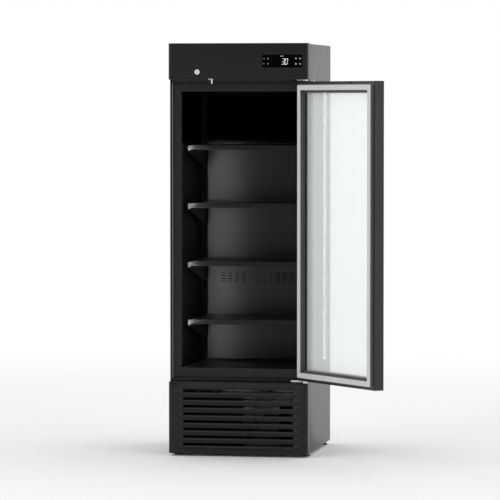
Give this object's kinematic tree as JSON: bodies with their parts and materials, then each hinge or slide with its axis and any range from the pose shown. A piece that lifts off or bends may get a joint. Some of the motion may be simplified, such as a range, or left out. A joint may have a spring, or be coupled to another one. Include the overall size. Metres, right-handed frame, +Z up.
{
  "type": "refrigerated display cabinet",
  "caption": "Upright refrigerated display cabinet, black, with a glass door standing open, shelves, inner light, key lock, controller and cooling unit in the base.",
  "frame": {"origin": "on the floor, under the middle of the cabinet's footprint (680 x 720 mm, door left out)", "axes": "+X to the right seen from the front, +Y from the front to the back, +Z up"},
  "size_m": [1.1085, 1.2305, 1.985],
  "materials": {
    "black_paint": "semi-gloss black powder coat on sheet steel",
    "liner_paint": "satin black coated steel",
    "seal_face": "black plastic profile, satin",
    "door_frame": "black plastic profile, semi-gloss",
    "trim": "grey plastic, satin",
    "gasket": "soft grey seal",
    "glazing": "clear float glass",
    "spacer": "black warm-edge spacer",
    "nickel": "bright nickel plating",
    "galvanised": "galvanised sheet steel",
    "foam": "cream polyurethane foam",
    "diffuser": "milky light cover",
    "alloy": "satin aluminium",
    "coil": "aluminium fins on tube",
    "copper": "drawn copper tube",
    "compressor_paint": "black paint on cast shell",
    "black_plastic": "moulded black plastic",
    "display": "black display pane",
    "nylon": "white nylon"
  },
  "bodies": {
    "cabinet": {"side_panel_left": "black_paint", "side_panel_right": "black_paint", "top_panel": "black_paint", "back_panel": "galvanised", "front_sill": "black_paint", "head_rail": "black_paint", "seal_frame": "seal_face", "liner_left": "liner_paint", "liner_right": "liner_paint", "liner_back": "liner_paint", "liner_ceiling": "liner_paint", "liner_floor": "liner_paint", "insulation": "foam", "upper_deck": "galvanised", "base_chassis": "galvanised", "duct_panel": "liner_paint", "evaporator": "coil", "evaporator_fan_frame": "black_plastic", "led_profile": "alloy", "led_diffuser": "diffuser", "shelf_1": "black_paint", "shelf_2": "black_paint", "shelf_3": "black_paint", "shelf_4": "black_paint", "shelf_standards": "liner_paint", "shelf_brackets": "liner_paint", "header_cover": "black_paint", "control_box": "galvanised", "controller_housing": "black_plastic", "controller_glass": "display", "lock_body": "nickel", "base_cover": "black_paint", "cover_screws": "nickel", "compressor": "compressor_paint", "condenser": "coil", "condenser_fan_frame": "black_plastic", "drip_tray": "black_plastic", "refrigerant_pipes": "copper", "power_inlet": "black_plastic", "hinge_bracket_top": "nickel", "hinge_bracket_bottom": "nickel"},
    "door": {"door_stile_hinge": "door_frame", "door_stile_free": "door_frame", "door_rail_top": "door_frame", "door_rail_bottom": "door_frame", "door_trim": "trim", "door_gasket": "gasket", "glass_outer": "glazing", "glass_inner": "glazing", "glass_spacer": "spacer", "hinge_plate_door": "nickel", "hinge_bushes": "nylon"},
    "barrel": {"lock_barrel": "nickel"},
    "bolt": {"lock_bolt": "nickel"},
    "evaporator_rotor": {"evaporator_fan_rotor": "black_plastic"},
    "condenser_rotor": {"condenser_fan_rotor": "black_plastic"},
    "foot_front_left": {"foot_front_left": "black_plastic"},
    "foot_front_right": {"foot_front_right": "black_plastic"},
    "foot_rear_left": {"foot_rear_left": "black_plastic"},
    "foot_rear_right": {"foot_rear_right": "black_plastic"}
  },
  "joints": [
    {"name": "door_hinge", "type": "hinge", "parent": "cabinet", "child": "door", "pos_m": [0.324, -0.348, 1.084], "axis": [0, 0, 1], "range_deg": [-130.4, 0]},
    {"name": "lock_turn", "type": "hinge", "parent": "cabinet", "child": "barrel", "pos_m": [-0.1987, -0.35, 1.847], "axis": [0, 1, 0], "range_deg": [0, 90]},
    {"name": "bolt_slide", "type": "slide", "parent": "cabinet", "child": "bolt", "axis": [-1, 0, 0], "range_m": [0, 0.014]},
    {"name": "evaporator_fan_spin", "type": "hinge", "parent": "cabinet", "child": "evaporator_rotor", "pos_m": [0, 0.3, 0.83], "axis": [0, 1, 0], "continuous": true},
    {"name": "condenser_fan_spin", "type": "hinge", "parent": "cabinet", "child": "condenser_rotor", "pos_m": [-0.14, -0.2, 0.141], "axis": [0, 1, 0], "continuous": true},
    {"name": "foot_front_left_slide", "type": "slide", "parent": "cabinet", "child": "foot_front_left", "axis": [0, 0, -1], "range_m": [0, 0.015]},
    {"name": "foot_front_right_slide", "type": "slide", "parent": "cabinet", "child": "foot_front_right", "axis": [0, 0, -1], "range_m": [0, 0.015]},
    {"name": "foot_rear_left_slide", "type": "slide", "parent": "cabinet", "child": "foot_rear_left", "axis": [0, 0, -1], "range_m": [0, 0.015]},
    {"name": "foot_rear_right_slide", "type": "slide", "parent": "cabinet", "child": "foot_rear_right", "axis": [0, 0, -1], "range_m": [0, 0.015]}
  ],
  "couplings": [
    {"joint": "bolt_slide", "follows": "lock_turn", "m_per_rad": 0.0089127}
  ]
}
